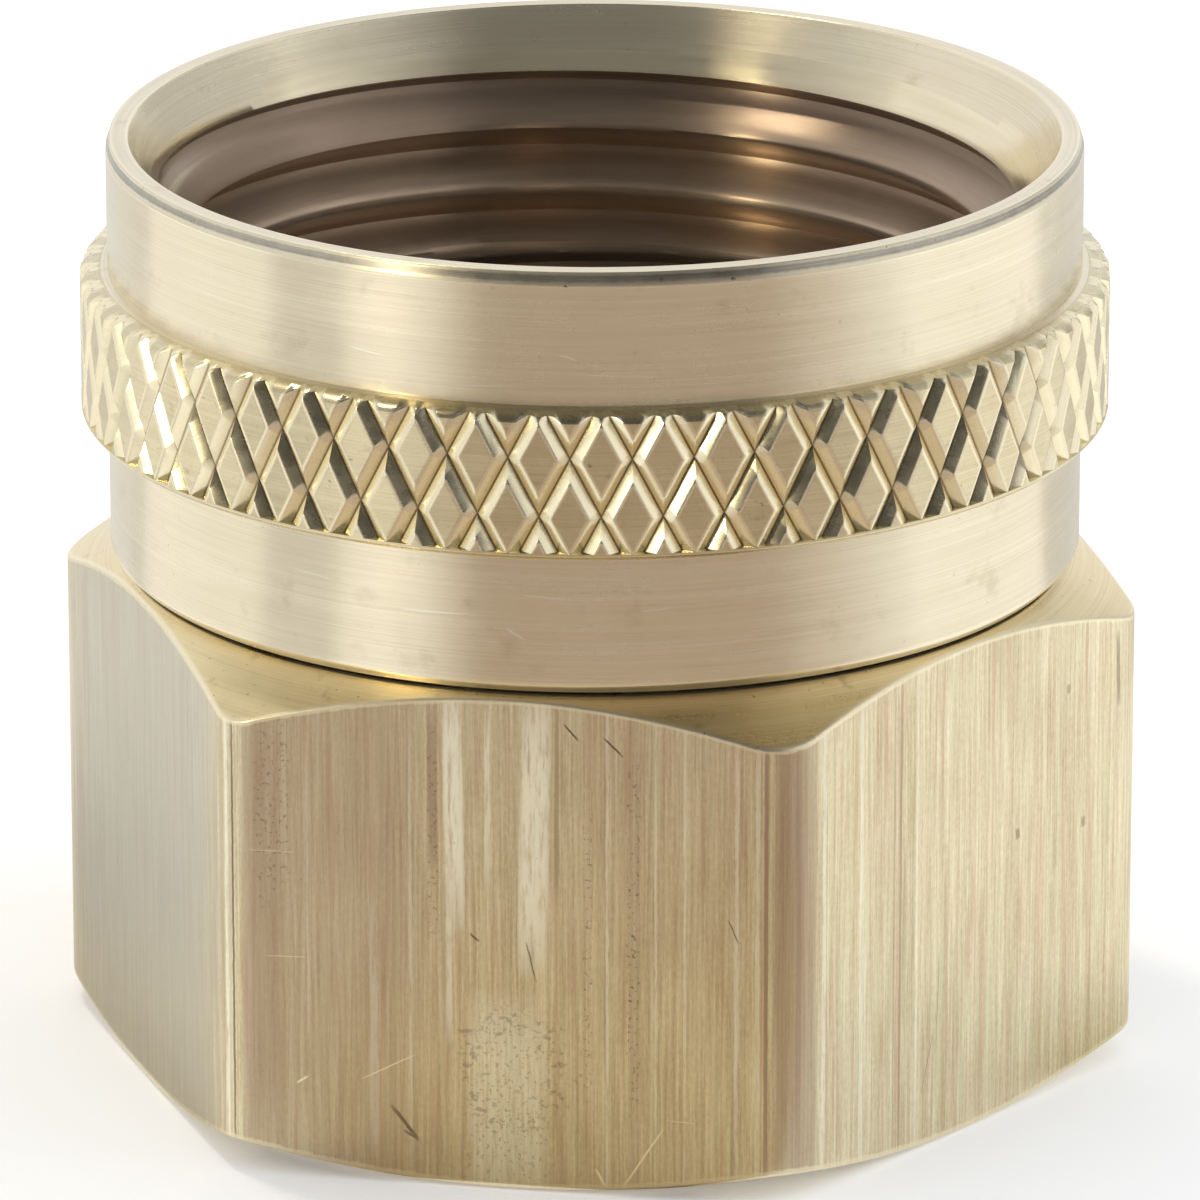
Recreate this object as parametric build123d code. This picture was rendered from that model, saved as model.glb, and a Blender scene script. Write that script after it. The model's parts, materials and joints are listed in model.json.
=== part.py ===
from build123d import *
import math
import os

# Swivel pipe union: a hexagon body with a female pipe thread below and a hose-thread swivel
# nut above. The body's neck passes up through the nut, a split ring snapped into a groove in
# the neck keeps the nut on, and a rubber washer lies on the neck's end inside the nut.
# Millimetres, +Z up. The origin is the centre of the body's flat bottom face, and the axis
# of every round feature is the Z axis.

# Hexagon body
hex_across_flats = 30.16          # 1-3/16 inch bar
hex_corner_round = 1.8            # rolled corners of the drawn bar
hex_height = 16.04
top_chamfer_angle = 30.0          # slope of the turned corner chamfer above, from the face
top_face_inset = 0.24             # turned top face lies this far inside the flats
bottom_chamfer_angle = 24.0
bottom_face_inset = 0.19

# Both threads have 60 degree grooves, held as rings of the true pitch and depth
thread_angle = 60.0

# Female 3/4-14 NPT pipe thread in its straight tap drill hole
pipe_drill_diameter = 23.42       # 59/64 inch
pipe_hole_depth = 13.2
pipe_pitch = 1.814                # 14 threads per inch
pipe_groove_depth = 1.55          # radial, at the mouth
pipe_taper = 1 / 16               # on the diameter
pipe_first_groove = 0.6           # middle of the lowest groove above the body's bottom face
pipe_thread_length = 12.0         # the last groove's middle lies no higher than this
pipe_countersink = 0.34           # the mouth's 45 degree countersink ends this far past the roots
drill_point_angle = 118.0         # included angle of the cone at the bottom of the hole

# Waterway and neck
waterway_diameter = 16.0
waterway_edge_break = 0.4
neck_diameter = 21.2
neck_edge_break = 0.3
neck_lip_thickness = 0.5          # wall of the neck above the ring groove
swivel_gap = 0.15                 # end float between the body's top face and the nut
neck_clearance = 0.08             # radial running clearance of the nut on the neck

# Retaining ring: a split ring of rectangular section
ring_thickness = 0.75
ring_width = 1.35                 # radial
ring_play = 0.10                  # between the nut's web and the ring
ring_seat_clearance = 0.05        # radial clearance of the ring in the bottom of its groove
ring_groove_depth = 0.65          # radial depth of the groove in the neck
ring_split = 3.0                  # width of the gap in the ring

# Swivel nut
nut_wall = 1.575                  # between the thread's roots and the barrel
nut_height = 13.34
nut_foot_bevel = 0.28             # at the lower outer edge
web_thickness = 1.25              # inward flange that the ring holds down
collar_rise = 0.855               # of the knurl's crests above the barrel
collar_bottom = 4.55              # above the nut's lower face
collar_height = 4.48
collar_edge_break = 0.15
shoulder_rise = 0.15              # the shoulder above the collar slopes up to the barrel

# Diamond knurl on the collar: two crossing sets of straight V grooves
knurl_count = 53                  # grooves in each set
knurl_angle = 27.643              # of the grooves from the axis
knurl_groove_depth = 0.36
knurl_groove_width = 0.629        # measured round the collar
knurl_length = 4.26               # down from the collar's upper face
knurl_crossing_angle = -79.07     # a crossing of two grooves lies at this angle round the axis
knurl_crossing_drop = 3.15        # and this far below the collar's upper face

# Female 3/4-11.5 NH hose thread
hose_minor_diameter = 24.6
hose_pitch = 2.209                # 11.5 threads per inch
hose_groove_depth = 1.35
hose_root_flat = 0.32
hose_first_groove = 1.46          # middle of the lowest groove above the thread's lower end
hose_relief_depth = 0.45          # the plain space round the washer is this far outside the crests
mouth_land_width = 0.565          # flat rim round the mouth
mouth_land_bevel = 0.12           # radial width of the bevel outside the flat rim
mouth_land_bevel_height = 0.38
mouth_cone_angle = 32.2           # slope of the mouth's cone from the axis
relief_above_washer = 0.25        # plain space between the washer and the first thread
thread_run_out_angle = 45.0       # slope of the thread's lower end face

# Rubber hose washer
washer_thickness = 2.35
washer_side_clearance = 0.35      # between the washer's edge and the nut
washer_inner_diameter = 16.4
washer_edge_break = 0.25


def rise(run, angle):
    """Height gained over a horizontal run by a slope at an angle from the horizontal."""
    return run * math.tan(math.radians(angle))


# Levels and radii that follow from the sizes above
hex_inradius = hex_across_flats / 2
hex_corner_radius = hex_inradius / math.cos(math.pi / 6)
nut_bottom = hex_height + swivel_gap
nut_top = nut_bottom + nut_height
web_top = nut_bottom + web_thickness
ring_bottom = web_top + ring_play
ring_top = ring_bottom + ring_thickness
neck_radius = neck_diameter / 2
neck_top = ring_top + neck_lip_thickness
groove_radius = neck_radius - ring_groove_depth
washer_top = neck_top + washer_thickness
thread_bottom = washer_top + relief_above_washer
pipe_radius = pipe_drill_diameter / 2
pipe_root_radius = pipe_radius + pipe_groove_depth
hose_radius = hose_minor_diameter / 2
hose_root_radius = hose_radius + hose_groove_depth
relief_radius = hose_radius + hose_relief_depth
nut_radius = hose_root_radius + nut_wall
land_radius = nut_radius - mouth_land_bevel - mouth_land_width
collar_radius = nut_radius + collar_rise
collar_low = nut_bottom + collar_bottom
collar_top = collar_low + collar_height


def turned(outline):
    """Solid of revolution about the Z axis from (radius, height) points."""
    points = [(radius, 0, height) for radius, height in outline]
    return revolve(make_face(Polyline(*points, close=True)), Axis.Z)


def thread_ring(root_radius, root_flat, middle, depth):
    """Solid that cuts one ring groove of a thread, a little past the crests."""
    reach = 1.1 * depth
    half_root = root_flat / 2
    half_open = half_root + reach * math.tan(math.radians(thread_angle / 2))
    root = [(root_radius, middle + half_root), (root_radius, middle - half_root)]
    if root_flat == 0:
        root = root[:1]
    return turned([
        *root,
        (root_radius - reach, middle - half_open),
        (root_radius - reach, middle + half_open),
    ])


def hexagon_bar():
    """Hexagon bar with two flats square to Y, corners rounded as drawn."""
    bar = extrude(RegularPolygon(hex_inradius, 6, major_radius=False), hex_height)
    return fillet(bar.edges().filter_by(Axis.Z), hex_corner_round)


def chamfer_envelope():
    """Turned envelope whose two cones cut the bar's corners at the top and the bottom."""
    top_radius = hex_inradius - top_face_inset
    bottom_radius = hex_inradius - bottom_face_inset
    top_drop = rise(hex_corner_radius - top_radius, top_chamfer_angle)
    bottom_lift = rise(hex_corner_radius - bottom_radius, bottom_chamfer_angle)
    return turned([
        (0, 0),
        (bottom_radius, 0),
        (hex_corner_radius, bottom_lift),
        (hex_corner_radius, hex_height - top_drop),
        (top_radius, hex_height),
        (0, hex_height),
    ])


def neck():
    """Neck above the hexagon, with the groove for the retaining ring."""
    return turned([
        (0, 0),
        (neck_radius, 0),
        (neck_radius, ring_bottom),
        (groove_radius, ring_bottom),
        (groove_radius, ring_top),
        (neck_radius, ring_top),
        (neck_radius, neck_top - neck_edge_break),
        (neck_radius - neck_edge_break, neck_top),
        (0, neck_top),
    ])


def pipe_grooves():
    """Grooves of the pipe thread, which get shallower up the hole."""
    grooves = []
    middle = pipe_first_groove
    while middle <= pipe_thread_length:
        root_radius = pipe_root_radius - middle * pipe_taper / 2
        grooves.append(thread_ring(root_radius, 0, middle, root_radius - pipe_radius))
        middle += pipe_pitch
    return grooves


def pipe_bore():
    """Space inside the body: mouth countersink, tap drill hole, drill cone and waterway."""
    mouth_radius = pipe_root_radius + pipe_countersink
    waterway_radius = waterway_diameter / 2
    mouth_depth = rise(mouth_radius - pipe_radius, 45)
    cone_end = pipe_hole_depth + rise(pipe_radius - waterway_radius, 90 - drill_point_angle / 2)
    return turned([
        (0, 0),
        (mouth_radius, 0),
        (pipe_radius, mouth_depth),
        (pipe_radius, pipe_hole_depth),
        (waterway_radius, cone_end),
        (waterway_radius, neck_top - waterway_edge_break),
        (waterway_radius + waterway_edge_break, neck_top),
        (0, neck_top),
    ])


def hex_body():
    """Hexagon body and neck, turned from one bar."""
    return (hexagon_bar() & chamfer_envelope()) + neck() - pipe_bore() - pipe_grooves()


def nut_blank():
    """The turned nut with its collar, before it is threaded and knurled."""
    bore_radius = neck_radius + neck_clearance
    cone_depth = rise(land_radius - hose_radius, 90 - mouth_cone_angle)
    run_out = rise(relief_radius - hose_radius, thread_run_out_angle)
    return turned([
        (bore_radius, nut_bottom),
        (nut_radius - nut_foot_bevel, nut_bottom),
        (nut_radius, nut_bottom + nut_foot_bevel),
        (nut_radius, collar_low),
        (collar_radius - collar_edge_break, collar_low),
        (collar_radius, collar_low + collar_edge_break),
        (collar_radius, collar_top - collar_edge_break),
        (collar_radius - collar_edge_break, collar_top),
        (nut_radius, collar_top + shoulder_rise),
        (nut_radius, nut_top - mouth_land_bevel_height),
        (nut_radius - mouth_land_bevel, nut_top),
        (land_radius, nut_top),
        (hose_radius, nut_top - cone_depth),
        (hose_radius, thread_bottom + run_out),
        (relief_radius, thread_bottom),
        (relief_radius, web_top),
        (bore_radius, web_top),
    ])


def hose_grooves():
    """Grooves of the hose thread, up to where the mouth's cone passes their roots."""
    highest = nut_top - rise(land_radius - hose_root_radius, 90 - mouth_cone_angle)
    grooves = []
    middle = thread_bottom + hose_first_groove
    while middle <= highest:
        grooves.append(thread_ring(hose_root_radius, hose_root_flat, middle, hose_groove_depth))
        middle += hose_pitch
    return grooves


def knurl_grooves(hand):
    """One set of the knurl's grooves, climbing to the right for hand 1 and to the left for -1.

    Each is a straight V prism that touches the collar at the middle of its length.
    """
    slope = hand * math.tan(math.radians(knurl_angle))
    low = collar_top - knurl_length
    tip = collar_radius - knurl_groove_depth
    start = -slope * knurl_length / 2
    profile = make_face(Polyline(
        (tip, start, low),
        (tip + 2 * knurl_groove_depth, start - knurl_groove_width, low),
        (tip + 2 * knurl_groove_depth, start + knurl_groove_width, low),
        close=True,
    ))
    length = (knurl_length + shoulder_rise) * math.hypot(slope, 1)
    cutter = extrude(profile, length, dir=(0, slope, 1))
    turn = math.degrees(slope * (knurl_crossing_drop - knurl_length / 2) / collar_radius)
    first = knurl_crossing_angle + turn
    return [Rot(0, 0, first + 360 * k / knurl_count) * cutter for k in range(knurl_count)]


def swivel_nut():
    """Knurled nut; its web turns on the neck between the body and the ring."""
    return nut_blank() - hose_grooves() - knurl_grooves(1) - knurl_grooves(-1)


def retaining_ring():
    """Split ring in the neck's groove, with its gap on the +X side."""
    inner = groove_radius + ring_seat_clearance
    outer = inner + ring_width
    ring = turned([
        (inner, ring_bottom),
        (outer, ring_bottom),
        (outer, ring_top),
        (inner, ring_top),
    ])
    gap = Pos(outer / 2, 0, ring_bottom) * Box(outer + ring_width, ring_split, 3 * ring_thickness)
    return ring - gap


def hose_washer():
    """Flat rubber washer on the neck's end face."""
    inner = washer_inner_diameter / 2
    outer = relief_radius - washer_side_clearance
    return turned([
        (inner + washer_edge_break, neck_top),
        (outer - washer_edge_break, neck_top),
        (outer, neck_top + washer_edge_break),
        (outer, washer_top - washer_edge_break),
        (outer - washer_edge_break, washer_top),
        (inner + washer_edge_break, washer_top),
        (inner, washer_top - washer_edge_break),
        (inner, neck_top + washer_edge_break),
    ])


pieces = {
    "hex_body": hex_body(),
    "swivel_nut": swivel_nut(),
    "retaining_ring": retaining_ring(),
    "hose_washer": hose_washer(),
}

os.makedirs("parts", exist_ok=True)
for name, piece in pieces.items():
    export_step(piece, f"parts/{name}.step")
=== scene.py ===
# %% [markdown]
# # A brass swivel pipe union
# The object joins a garden hose to a threaded pipe. A hexagon body takes the pipe from below, and a
# knurled nut turns on the body's neck and takes the hose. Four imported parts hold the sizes. This
# script dresses them: it cuts the threads and the knurl as real shapes and gives each surface the
# marks that making and handling leave on it.

import json
import math

import bmesh
import bpy
import numpy as np
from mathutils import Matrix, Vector


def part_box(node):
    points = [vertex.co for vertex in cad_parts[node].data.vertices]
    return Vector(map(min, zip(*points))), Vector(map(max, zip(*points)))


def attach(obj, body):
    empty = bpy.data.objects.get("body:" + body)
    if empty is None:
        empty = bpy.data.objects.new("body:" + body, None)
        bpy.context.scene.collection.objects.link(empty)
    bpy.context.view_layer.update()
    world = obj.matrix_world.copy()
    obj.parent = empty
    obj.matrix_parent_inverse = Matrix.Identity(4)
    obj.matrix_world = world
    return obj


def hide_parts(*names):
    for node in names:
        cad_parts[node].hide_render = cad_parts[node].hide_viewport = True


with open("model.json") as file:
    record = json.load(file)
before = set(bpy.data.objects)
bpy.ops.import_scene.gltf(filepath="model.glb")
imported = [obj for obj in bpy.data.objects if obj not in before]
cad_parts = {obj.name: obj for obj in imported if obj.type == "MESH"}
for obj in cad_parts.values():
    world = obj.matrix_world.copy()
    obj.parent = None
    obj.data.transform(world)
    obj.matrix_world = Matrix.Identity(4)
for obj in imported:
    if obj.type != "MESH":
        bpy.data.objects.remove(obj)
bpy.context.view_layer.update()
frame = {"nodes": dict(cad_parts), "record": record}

# %% [markdown]
# ## Sizes
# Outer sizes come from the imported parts, so the dressed pieces fit them. Small sizes that the packed
# parts don't show, such as the depth of a thread, are set here in metres.

# %% Sizes read from the parts
MM = 0.001
tiny = 0.001 * MM
nut_low, nut_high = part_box("swivel_nut")
washer_low, washer_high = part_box("hose_washer")
mounts = {mount["name"]: mount for mount in frame["record"]["mounts"]}

hex_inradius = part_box("hex_body")[1].y
neck_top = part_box("hex_body")[1].z
nut_bottom, nut_top = nut_low.z, nut_high.z
collar_radius = nut_high.y
hose_crest_radius = mounts["hose_thread"]["dims"]["r_mm"] * MM
pipe_crest_radius = mounts["pipe_thread"]["dims"]["r_mm"] * MM


def in_mm(length):
    """Length in millimetres, short enough to print."""
    return round(float(length / MM), 3)


print("nut from", in_mm(nut_bottom), "to", in_mm(nut_top), "mm")

# %% Sizes of the body
hex_height = nut_bottom - 0.15 * MM
corner_rounds = np.array([1.8, 1.8, 1.8, 3.0, 1.45, 2.2]) * MM
top_face_radius = hex_inradius - 0.24 * MM
bottom_face_radius = hex_inradius - 0.19 * MM
top_chamfer_slope = math.tan(math.radians(30))
bottom_chamfer_slope = math.tan(math.radians(24))
neck_radius = 10.6 * MM
neck_bevel = 0.3 * MM
groove_radius = neck_radius - 0.65 * MM
groove_low, groove_high = nut_bottom + 1.35 * MM, neck_top - 0.5 * MM
waterway_radius = 8.0 * MM
waterway_bevel = 0.4 * MM
pipe_thread_depth = 13.2 * MM
pipe_mouth_radius = 13.6 * MM
drill_point_slope = math.tan(math.radians(31))
print("hexagon", in_mm(2 * hex_inradius), "mm wide and", in_mm(hex_height), "mm high")

# %% Sizes of the nut
nut_radius = 15.225 * MM
collar_low = nut_bottom + 4.55 * MM
collar_top = collar_low + 4.48 * MM
collar_edge = 0.15 * MM
web_top = nut_bottom + 1.25 * MM
web_bore_radius = neck_radius + 0.08 * MM
relief_radius = 12.75 * MM
relief_top = washer_high.z + 0.25 * MM
land_inner_radius = 14.54 * MM
mouth_cone_slope = math.tan(math.radians(90 - 32.2))
mouth_cone_end = nut_top - (land_inner_radius - hose_crest_radius) * mouth_cone_slope
print("collar from", in_mm(collar_low), "to", in_mm(collar_top), "mm")

# %% [markdown]
# ## Turned shapes
# Both brass pieces are turned: their section is a closed outline of radius and height. A ring of
# points for each outline point, joined to the next ring, gives the skin. A real tool leaves no
# perfectly sharp corner, so each corner is rounded a little first. The rounding catches the light as
# a thin bright line.

# %% Outline helpers
def soft_outline(corners, steps=3):
    """Outline points from corners, each corner cut back by its own size and rounded.

    A corner is (radius, height, size), where radius and height are numbers, or arrays with one
    value for each angle round the axis. Returns (point, edge) pairs: edge is 1 on a rounded
    corner and 0 away from it, so that a material can find the edges. A corner whose size is
    "climb" is a row that winds up round the axis, and its edge is None.
    """
    points = [np.stack(np.broadcast_arrays(r, z), axis=-1).astype(float) for r, z, _ in corners]
    outline = []
    for i, (_, _, size) in enumerate(corners):
        here = points[i]
        if size in (0, "climb"):
            outline.append((here, 0.0 if size == 0 else None))
            continue
        ways = [points[i - 1] - here, points[(i + 1) % len(points)] - here]
        lengths = [np.linalg.norm(way, axis=-1, keepdims=True) for way in ways]
        far = [here + way * np.minimum(3 * size / length, 0.49) for way, length in zip(ways, lengths)]
        near = [here + way * np.minimum(size / length, 0.40) for way, length in zip(ways, lengths)]
        outline.append((far[0], 0.0))
        for t in np.linspace(0, 1, steps + 1):
            outline.append(((1 - t) ** 2 * near[0] + 2 * t * (1 - t) * here + t * t * near[1], 1.0))
        outline.append((far[1], 0.0))
    return outline


def turned_mesh(name, outline, angles, closed=True, rows_per_turn=0):
    """Mesh with one ring of points for each outline point, joined ring to ring.

    Where the last column meets the first, a row that climbs joins the row one turn higher.
    """
    count, rings = len(angles), len(outline)
    points = np.empty((rings, count, 3))
    for i, (ring, _) in enumerate(outline):
        radius, height = np.broadcast_to(ring, (count, 2)).T
        points[i] = np.column_stack([radius * np.cos(angles), radius * np.sin(angles), height])
    climbing = [i for i, (_, value) in enumerate(outline) if value is None]
    joins = {i: min(i + rows_per_turn, climbing[-1]) for i in climbing}
    faces = []
    for i in range(rings if closed else rings - 1):
        above = (i + 1) % rings
        here, there = i * count, above * count
        faces += [(here + j, here + j + 1, there + j + 1, there + j) for j in range(count - 1)]
        first, first_above = joins.get(i, i) * count, joins.get(above, above) * count
        faces.append((here + count - 1, first, first_above, there + count - 1))
    edge = np.repeat([value or 0.0 for _, value in outline], count)
    return new_mesh(name, points.reshape(-1, 3), faces, edge=edge)


# %% Mesh helpers
def new_mesh(name, points, faces, **marks):
    """Mesh from points and faces, with a named number for each point and mark."""
    mesh = bpy.data.meshes.new(name)
    mesh.from_pydata(np.asarray(points).tolist(), [], faces)
    for mark, values in marks.items():
        add_mark(mesh, mark, values)
    return mesh


def add_mark(mesh, name, values):
    """Give a mesh a named number for each point."""
    layer = mesh.attributes.new(name, "FLOAT", "POINT")
    layer.data.foreach_set("value", np.asarray(values, np.float32))


def all_of(items, field, width=1, kind=float):
    """Array of one field of all points, faces or corners of a mesh."""
    values = np.empty(len(items) * width, kind)
    items.foreach_get(field, values)
    return values.reshape(-1, width) if width > 1 else values


def points_of(mesh):
    """Array of a mesh's points, and each one's distance from the axis."""
    points = all_of(mesh.vertices, "co", 3)
    return points, np.hypot(points[:, 0], points[:, 1])


def object_with(mesh):
    """Object at the origin that shows a mesh."""
    made = bpy.data.objects.new(mesh.name, mesh)
    bpy.context.scene.collection.objects.link(made)
    return made


def even_angles(count):
    """Angles of evenly spaced columns round the axis."""
    return np.arange(count) * 2 * math.pi / count

# %% [markdown]
# ## Wires and nodes
# The trees and materials below are mostly sums. One call for each Math node would hide them, so a
# small class stands for a node's output, a wire. Adding or multiplying wires lays the Math nodes, and
# the code then reads as the sums do.

# %% Wires and nodes
class Wire:
    """An output of a node, which can stand in a sum."""

    def __init__(self, socket):
        self.socket = socket
        self.tree = socket.id_data


def feed(node, **inputs):
    """Link wires to a node's inputs or set their values: Base_Color=value fills Base Color."""
    for name, value in inputs.items():
        fill(node.inputs[name.replace("_", " ")], value)


def fill(socket, value):
    """Link a wire to a socket, or set the socket's value."""
    if isinstance(value, Wire):
        value.tree.links.new(value.socket, socket)
    elif value is not None:
        socket.default_value = value


def add_node(tree, kind, *values, **named):
    """Wires of a new node. Values fill its first inputs.

    A name with a capital letter is an input, and any other name is a setting of the node.
    """
    made = tree.nodes.new(kind)
    for name in [name for name in named if name[0].islower()]:
        setattr(made, name, named.pop(name))
    for socket, value in zip(made.inputs, values):
        fill(socket, value)
    feed(made, **named)
    return [Wire(socket) for socket in made.outputs]


def calculate(operation, *values, **settings):
    """Wire of a Math node. It works in geometry trees and in shader trees."""
    tree = next(value.tree for value in values if isinstance(value, Wire))
    return add_node(tree, "ShaderNodeMath", *values, operation=operation, **settings)[0]


def both_sides(operation):
    """Methods for a wire before and after the sign of a sum."""
    return (
        lambda wire, other: calculate(operation, wire, other),
        lambda wire, other: calculate(operation, other, wire),
    )


Wire.__add__, Wire.__radd__ = both_sides("ADD")
Wire.__sub__, Wire.__rsub__ = both_sides("SUBTRACT")
Wire.__mul__, Wire.__rmul__ = both_sides("MULTIPLY")
Wire.__truediv__, Wire.__rtruediv__ = both_sides("DIVIDE")


def parts(vector):
    """X, Y and Z of a vector."""
    return add_node(vector.tree, "ShaderNodeSeparateXYZ", vector)


def group_tree(kind, name, inputs, outputs):
    """Empty node group. An input is its starting number, or the word for its type."""
    tree = bpy.data.node_groups.new(name, kind)
    for label, value in inputs.items():
        word = value if isinstance(value, str) else {int: "Int", float: "Float"}[type(value)]
        socket = tree.interface.new_socket(label, in_out="INPUT", socket_type="NodeSocket" + word)
        if word != value:
            socket.default_value = value
    for label, word in outputs.items():
        tree.interface.new_socket(label, in_out="OUTPUT", socket_type="NodeSocket" + word)
    given = {socket.name: Wire(socket) for socket in tree.nodes.new("NodeGroupInput").outputs}
    return tree, given, tree.nodes.new("NodeGroupOutput")


print("a wire can be added, subtracted, multiplied and divided")

# %% [markdown]
# ## A thread cutter in Geometry Nodes
# A thread follows a rule: its groove climbs by one pitch for each turn. So a small node tree can cut
# it into any plain bore. For each point of the wall it works out how far the nearest groove centre
# is, and from that how deep the groove reaches there. The point moves out to that radius if it is
# further in, as if a tap had passed. Where a cone already opens the bore wider, the tap cuts air.

# %% Thread cutter tree
def end_tree(tree, result, geometry, material):
    """End a geometry tree: real geometry instead of instances, and its material."""
    solid, = add_node(tree, "GeometryNodeRealizeInstances", geometry)
    painted, = add_node(tree, "GeometryNodeSetMaterial", solid, None, material)
    feed(result, Geometry=painted)
    return tree


def thread_cutter():
    """Geometry tree that cuts a right-hand internal thread into the points marked bore_wall."""
    tree, size, result = group_tree("GeometryNodeTree", "thread_cutter", {
        "Geometry": "Geometry", "Pitch": 0.002, "Root Radius": 0.01, "Root Flat": 0.0003,
        "Flank Slope": 1.732, "Taper": 0.0, "Groove Height": 0.0, "End Height": 0.0,
        "End Side": 1.0, "Run Out": 0.001, "Crest Round": 0.0002, "Root Round": 0.0002,
        "Material": "Material",
    }, {"Geometry": "Geometry"})
    x, y, z = parts(add_node(tree, "GeometryNodeInputPosition")[0])
    radius = calculate("SQRT", x * x + y * y)
    turns = calculate("ARCTAN2", y, x) / (2 * math.pi)
    phase = (z - size["Groove Height"]) / size["Pitch"] - turns
    away = calculate("ABSOLUTE", phase - calculate("ROUND", phase)) * size["Pitch"]
    past_flat = calculate("SMOOTH_MAX", away - size["Root Flat"] * 0.5, 0.0, size["Root Round"])
    into_part = (z - size["End Height"]) * size["End Side"]
    left = calculate("DIVIDE", into_part, size["Run Out"], use_clamp=True)
    lost = (1.0 - left) * (size["Pitch"] * 0.7)
    groove = size["Root Radius"] - past_flat * size["Flank Slope"] - z * size["Taper"] - lost
    stretch = calculate("SMOOTH_MAX", radius, groove, size["Crest Round"]) / radius
    moved, = add_node(tree, "ShaderNodeCombineXYZ", x * stretch, y * stretch, z)
    marked = add_node(tree, "GeometryNodeInputNamedAttribute", "bore_wall", data_type="FLOAT")[0]
    chosen = calculate("GREATER_THAN", marked, 0.5)
    cut, = add_node(tree, "GeometryNodeSetPosition", size["Geometry"], chosen, moved)
    return end_tree(tree, result, cut, size["Material"])


def run_tree(made, tree, **sizes):
    """Run a geometry tree on an object once, keep the result as its plain mesh."""
    modifier = made.modifiers.new(tree.name, "NODES")
    modifier.node_group = tree
    for item in tree.interface.items_tree:
        label = item.name.replace(" ", "_").lower()
        if item.in_out == "INPUT" and label in sizes:
            modifier[item.identifier] = sizes[label]
    shaped = made.evaluated_get(bpy.context.evaluated_depsgraph_get())
    mesh = bpy.data.meshes.new_from_object(shaped)
    made.modifiers.remove(modifier)
    made.data = mesh
    return made


thread_tree = thread_cutter()
print("tree", thread_tree.name, "with", len(thread_tree.nodes), "nodes")

# %% Rows of points that follow a thread
def thread_rows(wall, angles, low, high, thread, steps=(6, 2, 6)):
    """Corners of rows that climb along a thread's edges, between two heights of a bore.

    wall gives the plain bore's radius at a height. thread holds the tree's sizes. steps are the
    rows on a flank, in the root and on the crest. With points on the thread's own edges, the
    edges come out sharp.
    """
    pitch, half_flat = thread["pitch"], thread["root_flat"] / 2
    turns = angles / (2 * math.pi)

    def depth(centre, z):
        away = np.maximum(np.abs(z - centre) - half_flat, 0)
        root = thread["root_radius"] - thread["taper"] * z
        return root - away * thread["flank_slope"] - wall(z)

    def crest_edge(centre, side):
        near, far = centre, centre + side * pitch / 2
        for _ in range(40):
            middle = (near + far) / 2
            inside = depth(centre, middle) > 0
            near, far = np.where(inside, middle, near), np.where(inside, far, middle)
        return near

    flank, root, crest = steps
    count = math.ceil((high - low) / pitch) + 5
    first = math.floor((low - thread["groove_height"]) / pitch) - 2
    heights = []
    for k in range(first, first + count):
        centre = thread["groove_height"] + pitch * (turns + k)
        stops = [crest_edge(centre, -1), centre - half_flat, centre + half_flat, crest_edge(centre, 1)]
        stops[1] = np.maximum(stops[0], stops[1])
        stops[2] = np.minimum(stops[2], stops[3])
        stops.append(crest_edge(centre + pitch, -1))
        for here, there, number in zip(stops, stops[1:], (flank, root, flank, crest)):
            heights += [here + (there - here) * i / number for i in range(number)]
    heights = [np.clip(z, low, high) for z in heights]
    return [(wall(z), z, "climb") for z in heights], 2 * flank + root + crest


def tap(mesh, low, high, widest, thread):
    """Object that shows a mesh, with a thread cut into the wall of its bore between two heights."""
    points, reach = points_of(mesh)
    add_mark(mesh, "bore_wall", (points[:, 2] > low) & (points[:, 2] < high) & (reach < widest))
    return run_tree(object_with(mesh), thread_tree, **thread)

# %% [markdown]
# ## The hexagon body
# The body is a piece of hexagon bar, turned at both ends. Turning cuts its corners with a flat cone,
# and that leaves a curved line across each flat. Here the same rings of points as for a turned shape
# follow the hexagon's outline: their radius changes with the angle. The chamfer's cone is flat along
# each radius, so the curved lines come out by themselves. The columns are closer together at the
# rounded corners.

# %% Hexagon outline
sixth = math.radians(60)


def half_corner(corner_round):
    """Half of the angle that a rounded corner takes up, seen from the axis."""
    flat_left = (hex_inradius - corner_round) * math.tan(sixth / 2)
    return sixth / 2 - np.arctan(flat_left / hex_inradius)


def hexagon_angles():
    """Angles of the columns: even steps on the flats, short steps on the rounded corners."""
    angles = []
    halves = half_corner(corner_rounds)
    for k, (here, there) in enumerate(zip(halves, np.roll(halves, -1))):
        on_corner = np.linspace(-here, here, 11)
        on_flat = np.linspace(here, sixth - there, 44)[1:-1]
        angles.append(np.concatenate([on_corner, on_flat]) + sixth * k)
    return np.concatenate(angles)


def hexagon_radius(angles):
    """Distance from the axis to the side of the bar, for each angle."""
    nearest = np.round(angles / sixth).astype(int)
    from_corner = angles - nearest * sixth
    corner_round = corner_rounds[nearest % 6]
    centre = (hex_inradius - corner_round) / math.cos(sixth / 2)
    across = np.minimum(np.abs(centre * np.sin(from_corner)), corner_round)
    on_round = centre * np.cos(from_corner) + np.sqrt(corner_round**2 - across**2)
    on_flat = hex_inradius / np.cos(sixth / 2 - np.abs(from_corner))
    return np.where(np.abs(from_corner) < half_corner(corner_round), on_round, on_flat)


body_angles = hexagon_angles()
bar_radius = hexagon_radius(body_angles)
bar_low = (bar_radius - bottom_face_radius) * bottom_chamfer_slope
bar_high = hex_height - (bar_radius - top_face_radius) * top_chamfer_slope
print(len(body_angles), "columns, bar radius up to", in_mm(bar_radius.max()), "mm")

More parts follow.
